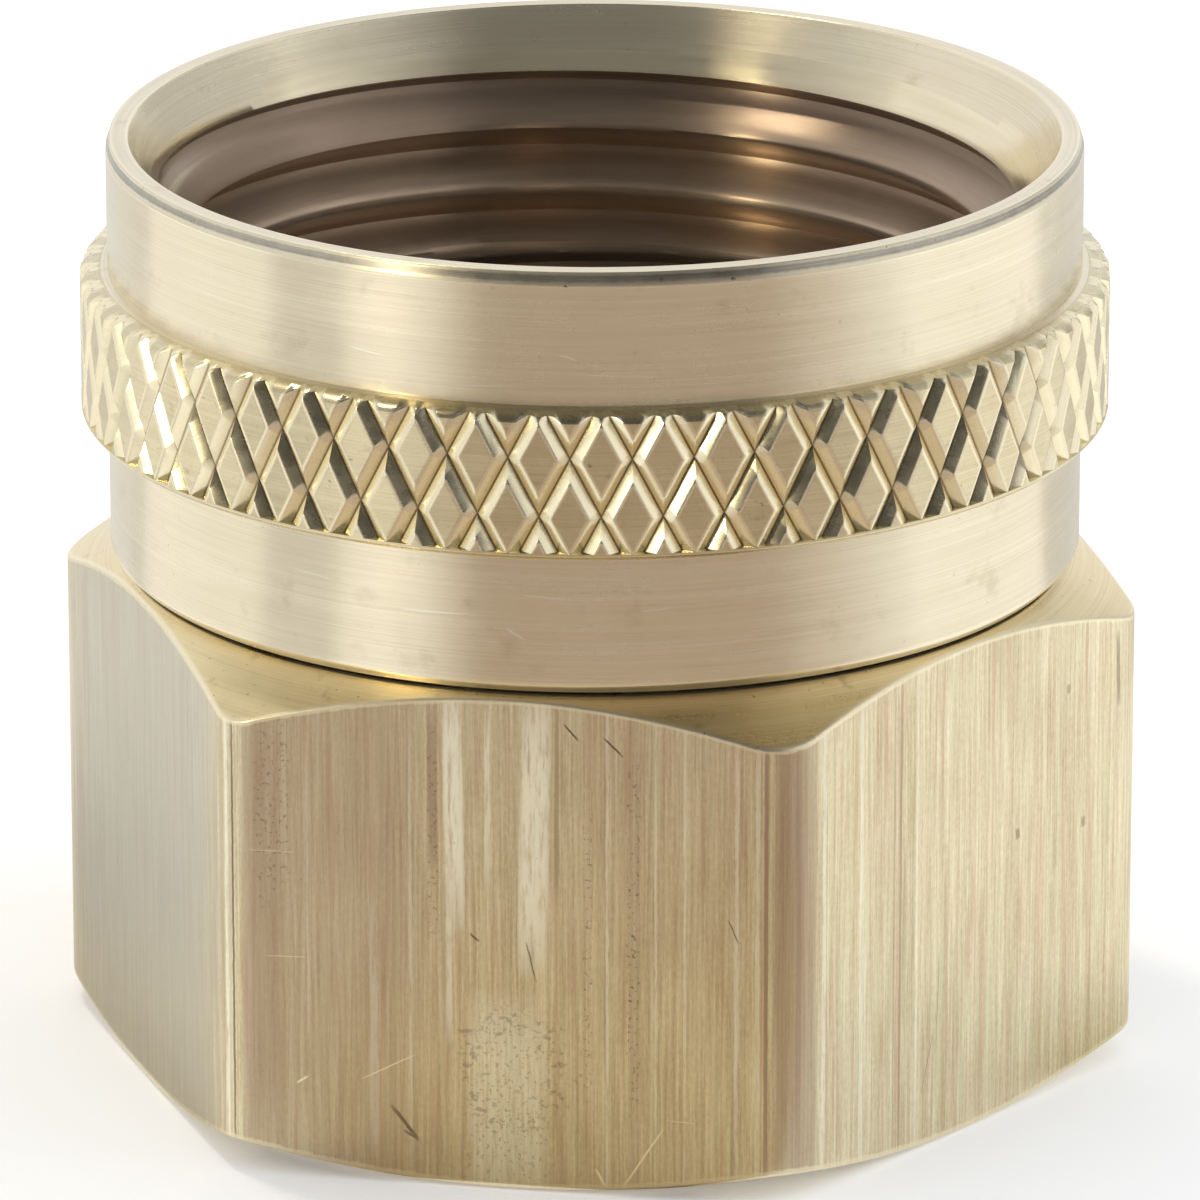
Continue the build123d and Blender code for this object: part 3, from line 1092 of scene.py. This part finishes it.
brown_streaks = [
    (-3.0, 5.0, 12.0, 3.6, 0, 0.20), (-5.4, 8.0, 22.0, 5.8, 0, 0.50), (4.9, 11.5, 14.0, 6.0, 0, 0.08),
    (-2.3, 13.0, 6.0, 0.35, 0, 0.7), (1.55, 12.6, 7.0, 0.16, 0, 0.7),
] + full_length(
    (8.03, 0.16, 1.0), (9.2, 1.9, 0.75), (8.62, 0.12, 0.8), (9.25, 0.3, 1.0), (-7.6, 1.6, 0.75),
    (3.95, 0.42, 0.4), (-3.6, 0.2, 0.5), (14.1, 0.12, 0.9), (13.8, 0.08, 0.6), (-4.7, 0.12, 0.5),
    (-9.25, 0.25, 0.5),
)
dark_scratches = [
    (2.0, 15.0, 0.75, 0.07, 42, 1.0), (3.3, 14.6, 0.9, 0.07, 45, 1.0), (-1.0, 8.2, 0.4, 0.09, 50, 0.9),
    (7.0, 8.9, 0.9, 0.05, 25, 0.8), (16.0, 5.0, 2.6, 0.05, -3, 0.5), (15.5, 2.8, 2.2, 0.05, -18, 0.5),
    (24.9, 13.2, 2.6, 0.20, 2, 0.6), (-3.2, 2.0, 1.5, 0.13, 38, 0.9), (-3.0, 1.6, 0.6, 0.10, 60, 0.8),
    (0.75, 7.5, 1.4, 0.06, 14, 0.8), (19.9, 9.1, 0.4, 0.22, 10, 0.6), (23.2, 8.6, 0.4, 0.25, 0, 0.5),
    (22.4, 13.2, 0.35, 0.2, 0, 0.5),
] + full_length((-8.66, 0.10, 0.9))
gold_scratches = [
    (4.2, 1.3, 2.6, 0.07, -32, 1.0), (-3.7, 3.8, 2.0, 0.05, -62, 0.7), (-6.4, 3.2, 0.45, 0.08, -55, 0.9),
    (2.9, 0.6, 0.7, 0.09, 28, 1.0), (-7.3, 10.6, 1.6, 0.04, 90, 0.4), (-6.9, 7.2, 1.4, 0.04, 91, 0.4),
    (5.4, 2.6, 1.0, 0.04, 88, 0.5),
]
pitted_streaks = [
    (3.9, 8.5, 13.0, 0.45, 0, 1.0), (2.5, 8.0, 11.0, 0.3, 0, 0.8), (0.0, 2.9, 7.0, 3.0, 0, 0.55),
    (-2.3, 11.5, 8.0, 0.4, 0, 0.8), (-7.3, 12.0, 7.0, 1.2, 0, 0.8),
]
# Painted reflection: the left flat is painted grey for the grey-blue surroundings it reflects, and a back
# flat gets the same painted grey.
painted_grey_flats = [(-17.4, 8.0, 60.0, 16.2, 0, 1.0), (34.8, 8.0, 60.0, 15.0, 0, 0.7)]
print(len(pale_streaks) + len(brown_streaks), "streaks,", len(dark_scratches), "dark scratches")

# %% Drawn brass of the flats
def pitted_ring(side, across, up, wide, high):
    """Ragged ring of wear round a place on the UV map."""
    centred = add_node(side.tree, "ShaderNodeVectorMath", side, (across, up, 0), operation="SUBTRACT")[0]
    reach = length_of(scaled(centred, 1 / wide, 1 / high, 0))
    reach = (noise(side, 0.9, 4.0, 0.7) - 0.5) * 2.2 + reach
    return spread(calculate("ABSOLUTE", reach - 1.0), 0.10, 0.32, 1.0, 0.0)


def drawn_brass(name):
    """Brass with the streaks that drawing leaves along the bar and the marks of handling, and a painted
    grey reflection on the left flat that a back flat shares.
    """
    made, tree, shader = new_material(name)
    place, side = object_place(tree), side_place(tree)
    fine = noise(side, (9.0, 0.20, 0), 4.0, 0.7)
    broad = noise(side, (1.5, 0.03, 0), 4.0, 0.65)
    broad_share = spread(broad, 0.30, 0.70)
    hue = noise(side, (3.4, 0.10, 0))
    grit = noise(side, (12.0, 4.0, 0), 3.0, 0.7)
    film, _ = use_group(mottling_group, place, Patch_Size=5.0, Seed=5.0)
    share = spread(fine, 0.35, 0.65) * 0.42 + broad_share * 0.25 + spread(grit, 0.32, 0.68) * 0.20
    colour = blend_colour(share + film * 0.15, (0.44, 0.325, 0.175), (1.0, 0.93, 0.67))
    colour = blend_colour(spread(hue, 0.54, 0.68) * 0.55, colour, streak_red)
    colour = blend_colour(spread(hue, 0.46, 0.32) * 0.45, colour, streak_green)
    flecks = spread(noise(side, (6.0, 0.6, 0), 4.0, 0.7), 0.34, 0.52, 0.15, 1.0)
    pale = lay_marks(side, 0.10, pale_streaks) * flecks
    colour = blend_colour(pale, colour, streak_pale)
    colour = blend_colour(lay_marks(side, 0.06, brown_streaks) * 0.8, colour, streak_brown)
    # Painted reflection: a grey tint on the left flat and on a back flat.
    colour = blend_colour(lay_marks(side, 0.30, painted_grey_flats) * 0.66, colour, painted_reflection_grey)
    pits = noise(side, (7.0, 6.0, 0))
    pitted = lay_marks(side, 0.25, pitted_streaks) * spread(pits, 0.57, 0.64)
    ring_pits = spread(noise(side, (3.4, 4.4, 0), 4.0, 0.65), 0.53, 0.60)
    ring = pitted_ring(side, 0.2, 3.9, 1.5, 1.6) * ring_pits
    pitted = calculate("MAXIMUM", pitted, ring * 0.6)
    pitted = calculate("MAXIMUM", pitted, spread(pits, 0.73, 0.755))
    dark = calculate("MAXIMUM", lay_marks(side, 0.10, dark_scratches), pitted * 0.75)
    colour = blend_colour(dark, colour, scratch_dark)
    colour = blend_colour(lay_marks(side, 0.05, gold_scratches), colour, scratch_gold)
    feed(
        shader, Base_Color=rubbed(colour, place, 1.1, 0.3, rubbed_flat),
        Roughness=pale * 0.15 + (broad_share * -0.10 + 0.42),
        Normal=raised(dark * -1.5 + (broad + fine), 0.6, 0.006), Tangent=round_axis(tree),
        Metallic=1.0, Anisotropic=0.5,
    )
    return made


drawn_finish = drawn_brass("brass_drawn")
print("the flats' finish has", len(drawn_finish.node_tree.nodes), "nodes")

# %% Give each face its finish
def finish_faces(made, finishes, choice):
    """Set each face's material from the index that choice gives for its middle."""
    mesh = made.data
    mesh.materials.clear()
    for finish in finishes:
        mesh.materials.append(finish)
    middles = all_of(mesh.polygons, "center", 3)
    index = choice(np.hypot(middles[:, 0], middles[:, 1]), middles[:, 2])
    mesh.polygons.foreach_set("material_index", index.astype(np.int32))
    print(made.name, "faces by finish:", np.bincount(index.astype(int)).tolist())


def body_choice(reach, height):
    """0 turned, 1 drawn flats, 2 threads, 3 chamfer."""
    cone_low_edge = (reach - bottom_face_radius) * bottom_chamfer_slope + 0.04 * MM
    cone_high_edge = hex_height - (reach - top_face_radius) * top_chamfer_slope - 0.04 * MM
    flats = (reach > hex_inradius - 0.02 * MM) & (height > cone_low_edge) & (height < cone_high_edge)
    threads = (reach < pipe_mouth_radius) & (height < pipe_thread_depth) & (height > 0.04 * MM)
    chamfer = (reach > 14.2 * MM) & (height > hex_height - 2.0 * MM)
    return np.select([flats, threads, chamfer], [1, 2, 3])


def nut_choice(reach, height):
    """0 turned, 1 knurled, 2 threads, 3 the bevel at the rim."""
    knurled = (reach > nut_radius + 0.1 * MM) & (height > collar_low) & (height < collar_top + 0.1 * MM)
    threads = (reach < 13.8 * MM) & (height > web_top) & (height < nut_top - 1.2 * MM)
    rim = (reach > nut_radius - rim_bevel - 0.02 * MM) & (height > nut_top - rim_drop - 0.04 * MM)
    return np.select([knurled, threads, rim], [1, 2, 3])


finish_faces(union_body, [turned_finish, drawn_finish, thread_finish, chamfer_finish], body_choice)
finish_faces(union_nut, [turned_finish, knurl_finish, thread_finish, rim_finish], nut_choice)

# %% [markdown]
# ## Rubber washer and steel ring
# The washer is moulded black rubber: a soft flat ring, slightly domed between its edges, with a dull
# grained skin. The retaining ring is a cut length of square steel wire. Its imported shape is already
# right, so only its finish is added.

# %% Washer
washer_outer = washer_high.x
washer_inner = washer_outer - 4.2 * MM
washer_edge = washer_high.z - 0.03 * MM
washer_outline = soft_outline([
    (washer_inner, washer_low.z, 0.22 * MM),
    (washer_outer, washer_low.z, 0.22 * MM),
    (washer_outer, washer_edge, 0.25 * MM),
    ((washer_inner + washer_outer) / 2, washer_high.z, 0.9 * MM),
    (washer_inner, washer_edge, 0.25 * MM),
])
washer = object_with(turned_mesh("rubber_washer", washer_outline, even_angles(160)))
finish_mesh(washer)

# %% Rubber and steel
def rubber():
    """Dull black rubber with a fine moulded grain and grey bloom."""
    made, tree, shader = new_material("rubber_black")
    place = object_place(tree)
    film, _ = use_group(mottling_group, place, Patch_Size=1.6, Seed=9.0)
    _, bands = use_group(turning_group, place, Line_Width=0.12, Band_Width=0.9, Break_Up=3.0)
    feed(
        shader, Roughness=spread(film, 0.0, 1.0, 0.55, 0.75),
        Base_Color=blend_colour(bands * 0.4 + film * 0.6, (0.012, 0.012, 0.013), (0.040, 0.038, 0.036)),
        Normal=raised(noise(place, (9 / MM,) * 3), 0.5, 0.02),
    )
    return made


def ring_wire():
    """Bright steel wire with drawing lines and a few small brown stains."""
    made, tree, shader = new_material("steel_wire")
    place = object_place(tree)
    lines, _ = use_group(turning_group, place, Line_Width=0.04, Band_Width=0.4, Break_Up=2.0)
    film, stains = use_group(mottling_group, place, Patch_Size=1.2, Seed=4.0)
    colour = blend_colour(lines, (0.46, 0.45, 0.43), (0.66, 0.65, 0.63))
    feed(
        shader, Base_Color=blend_colour(stains * 0.5, colour, (0.25, 0.17, 0.11)), Metallic=1.0,
        Roughness=spread(film, 0.0, 1.0, 0.25, 0.42), Normal=raised(lines, 0.4, 0.004),
    )
    return made


washer.data.materials.append(rubber())
ring = frame["nodes"]["retaining_ring"]
ring.data.materials.clear()
ring.data.materials.append(ring_wire())
print("washer from", in_mm(washer_inner), "to", in_mm(washer_outer), "mm radius")

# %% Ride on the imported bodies
for piece, body, node, slot_name in (
    (union_body, "body", "hex_body", "body_brass"),
    (union_nut, "nut", "swivel_nut", "nut_brass"),
    (washer, "body", "hose_washer", "washer_rubber"),
):
    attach(piece, body)
    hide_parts(node)
    print(piece.name, "rides on", body, "and replaces", node)

# %% [markdown]
# ## Studio
# Metal shows its surroundings, so the studio is part of the finish. The piece stands on a pale floor
# under a pale sky that is deeper overhead. Two small warm lamps on the left, one at the back and one
# in front, and a strip that only reflections see draw the bright streaks in the mouth and on the
# threads. A broad lamp on the right only lights. Screens all round and tan and grey cards on the floor
# give the turned faces their deeper and paler bands, and they too are seen only in reflections.

# %% Floor and sky
camera_turn = math.radians(10.25)
card_lift = 0.2 * MM


def around(azimuth, distance, height=card_lift):
    """Place at an azimuth from the camera's side (positive to the right), distance and height."""
    angle = math.radians(azimuth) + camera_turn
    return Vector((distance * math.sin(angle), -distance * math.cos(angle), height))


def seen_directly(tree):
    """1 for the camera and for reflections and glass, 0 for the light that falls on the piece."""
    path = tree.nodes.new("ShaderNodeLightPath").outputs
    seen = calculate("MAXIMUM", Wire(path["Is Camera Ray"]), Wire(path["Is Glossy Ray"]))
    return calculate("MAXIMUM", seen, Wire(path["Is Transmission Ray"]))


def floor_finish():
    """Pale matt floor with a very faint tooth."""
    made, tree, shader = new_material("floor_pale")
    shade = noise(object_place(tree), 40, 3.0, 0.5)
    feed(
        shader, Base_Color=blend_colour(shade, (0.94, 0.94, 0.945), (0.97, 0.97, 0.97)), Roughness=0.9,
        Emission_Color=(1, 1, 1, 1), Emission_Strength=seen_directly(tree) * 0.14,
    )
    return made


def sheet(name, points, faces, finish, **marks):
    """Thin stage piece from points and faces, with a finish."""
    mesh = new_mesh(name, points, faces, **marks)
    mesh.materials.append(finish)
    return object_with(mesh)


floor = sheet("floor", [(-4, -4, 0), (4, -4, 0), (4, 4, 0), (-4, 4, 0)], [(0, 1, 2, 3)], floor_finish())
world = bpy.data.worlds.new("sky")
bpy.context.scene.world = world
world.use_nodes = True
sky = world.node_tree
overhead = parts(Wire(sky.nodes.new("ShaderNodeTexCoord").outputs["Generated"]))[2]
shown = spread(overhead, 0.66, 0.94, 1.0, 0.08)
feed(
    sky.nodes["Background"], Color=(0.97, 0.98, 1.0, 1.0),
    Strength=spread(seen_directly(sky), 0.0, 1.0, 0.82, shown),
)
print("floor and sky:", floor.name, world.name)

# %% Lamps
lamp_aim = Vector((0, 0, 15 * MM))


def soft_lamp(name, place, size, power, colour):
    """Rectangular lamp that faces the piece and isn't seen by the camera."""
    light = bpy.data.lights.new(name, "AREA")
    light.shape = "RECTANGLE"
    light.size, light.size_y = size
    light.energy, light.color = power, colour
    lamp = bpy.data.objects.new(name, light)
    bpy.context.scene.collection.objects.link(lamp)
    lamp.location = place
    lamp.rotation_euler = (lamp_aim - place).to_track_quat("-Z", "Y").to_euler()
    lamp.visible_camera = False
    return lamp


soft_lamp("lamp_left", around(-136, 0.22, 0.504), (0.05, 0.08), 0.48, (1.0, 0.91, 0.72))
soft_lamp("lamp_front", around(-45, 0.41, 0.37), (0.10, 0.08), 0.022, (1.0, 0.86, 0.56))
lamp_strip = soft_lamp("lamp_strip", around(-46, 0.517, 0.188), (0.06, 0.14), 0.5, (1.0, 0.90, 0.64))
lamp_strip.visible_diffuse = False
lamp_right = soft_lamp("lamp_right", around(95, 0.50, 0.22), (0.36, 0.30), 1.1, (0.90, 0.96, 1.0))
lamp_right.visible_glossy = False
print(len(bpy.data.lights), "lamps")

# %% Finishes of the screens and cards
def stage_finish(name, low, lift=(0.06, 0.06, 0.06), near=None, sides=None):
    """Matt finish of a stage piece, slightly uneven.

    near is (distance, distance, colour) of a patch round the middle of the stage. sides is a
    function of the azimuth that gives the share of a pale colour, and that colour.
    """
    made, tree, shader = new_material(name)
    place = object_place(tree)
    high = tuple(value + more for value, more in zip(low, lift))
    colour = blend_colour(noise(place, 12, 2.0, 0.5), low, high)
    if near:
        start, end, patch = near
        colour = blend_colour(spread(length_of(place), start, end), patch, colour)
    if sides:
        share, pale = sides
        colour = blend_colour(share(number_of(tree, "azimuth")), colour, (pale,) * 3)
    feed(shader, Base_Color=colour, Roughness=1.0)
    return made


def table_fade(side):
    """The table top fades to the floor's colour at both sides."""
    return calculate("MAXIMUM", spread(side, -25, -38), spread(side, 38, 70))


def screen_fade(side):
    """The screens are dark in the middle and paler to the sides."""
    return spread(side, 38, 95)


no_lift = (0.0, 0.0, 0.0)
dark_screen = stage_finish("screen_dark", (0.02, 0.018, 0.016), no_lift, sides=(screen_fade, 0.90))
grey_screen = stage_finish("screen_grey", (0.23, 0.225, 0.22), no_lift, sides=(screen_fade, 0.90))
table_tan = stage_finish(
    "table_tan", (0.45, 0.365, 0.305), (0.07, 0.055, 0.05),
    near=(0.022, 0.050, (0.70, 0.59, 0.43)), sides=(table_fade, 0.95),
)
card_cool = stage_finish("card_cool", (0.35, 0.35, 0.38), near=(0.019, 0.030, (0.78, 0.75, 0.71)))
card_olive = stage_finish("card_olive", (0.91, 0.89, 0.77), (0.04, 0.04, 0.04))
card_warm = stage_finish("card_pale", (0.66, 0.65, 0.64))
screen_pale, card_grey, card_left, card_high = (
    stage_finish(name, (grey,) * 3)
    for name, grey in (("screen_pale", 0.70), ("card_grey", 0.74), ("card_left", 0.76), ("card_high", 0.66))
)
print("stage finishes ready")

# %% Screens and cards, for reflections only
def reflected_only(made):
    """Keep a stage piece out of the view and out of the floor's light."""
    made.visible_camera = False
    made.visible_diffuse = False
    made.visible_shadow = False


def grid_faces(rows, columns):
    """Faces between rows of points."""
    starts = [i * columns + j for i in range(rows - 1) for j in range(columns - 1)]
    return [(k, k + 1, k + columns + 1, k + columns) for k in starts]


def floor_strip(name, azimuths, near, far, finish):
    """Sheet on the floor between azimuths, from a distance for each azimuth out to a far edge."""
    points = [around(a, reach) for a, reach in zip(azimuths, near)] + [around(a, far) for a in azimuths]
    return sheet(name, points, grid_faces(2, len(azimuths)), finish, azimuth=np.tile(azimuths, 2))


def curved_screen(name, azimuths, elevations, finish, distance=0.8):
    """Part of a sphere round the piece, between azimuths and elevations in degrees."""
    azimuths, rises = np.linspace(*azimuths, 33), np.radians(np.linspace(*elevations, 7))
    points = [around(a, distance * math.cos(b), distance * math.sin(b)) for b in rises for a in azimuths]
    return sheet(name, points, grid_faces(7, 33), finish, azimuth=np.tile(np.abs(azimuths), 7))


def floor_card(name, corners, finish):
    """Flat card on the floor, from the azimuth and distance of each corner."""
    return sheet(name, [around(*corner) for corner in corners], [(0, 1, 2, 3)], finish)


table_turn = np.linspace(-42, 72, 39)
table_near = np.interp(table_turn, [-42, 10, 20, 30, 50, 72], [0.0150, 0.0150, 0.0185, 0.024, 0.034, 0.050])
stage_pieces = [
    curved_screen("front_screen", (-42, 42), (3, 27), dark_screen),
    curved_screen("upper_screen", (-95, 95), (27, 66), grey_screen),
    curved_screen("right_screen", (96, 152), (2, 36), screen_pale),
    curved_screen("high_card", (126, 160), (37, 56), card_high),
    floor_strip("table_top", table_turn, table_near, 0.45, table_tan),
    floor_strip("side_card", np.linspace(-76, -56, 9), [0.035] * 9, 0.45, card_grey),
    floor_strip("right_card", np.linspace(120, 172, 9), [0.045] * 9, 0.14, card_warm),
    floor_strip("left_far_card", np.linspace(-172, -121, 9), [0.050] * 9, 0.14, card_left),
    floor_card("left_card", [(-40, 0.0175), (-119, 0.048), (-130, 0.062), (-100, 0.0175)], card_cool),
    floor_card("corner_card", [(60, 0.0165), (72, 0.0195), (87, 0.0275), (80, 0.0172)], card_olive),
]
for piece in stage_pieces:
    reflected_only(piece)
print(len(stage_pieces), "stage pieces for reflections")

# %% Camera
camera_pitch = 18.653
camera_distance, camera_height = 0.3437, 0.13013
framing_turn = math.radians(0.0266)
lens = bpy.data.cameras.new("camera")
lens.lens, lens.sensor_width = 345.1, 36.0
lens.clip_start, lens.clip_end = 0.01, 50.0
camera = bpy.data.objects.new("camera", lens)
bpy.context.scene.collection.objects.link(camera)
camera.location = around(0, camera_distance, camera_height)
camera.rotation_euler = (math.radians(90 - camera_pitch), 0, camera_turn - framing_turn)
bpy.context.scene.camera = camera
bpy.context.scene.view_settings.view_transform = "Standard"
print("camera looks down", camera_pitch, "degrees from", round(camera.location.length, 3), "m")
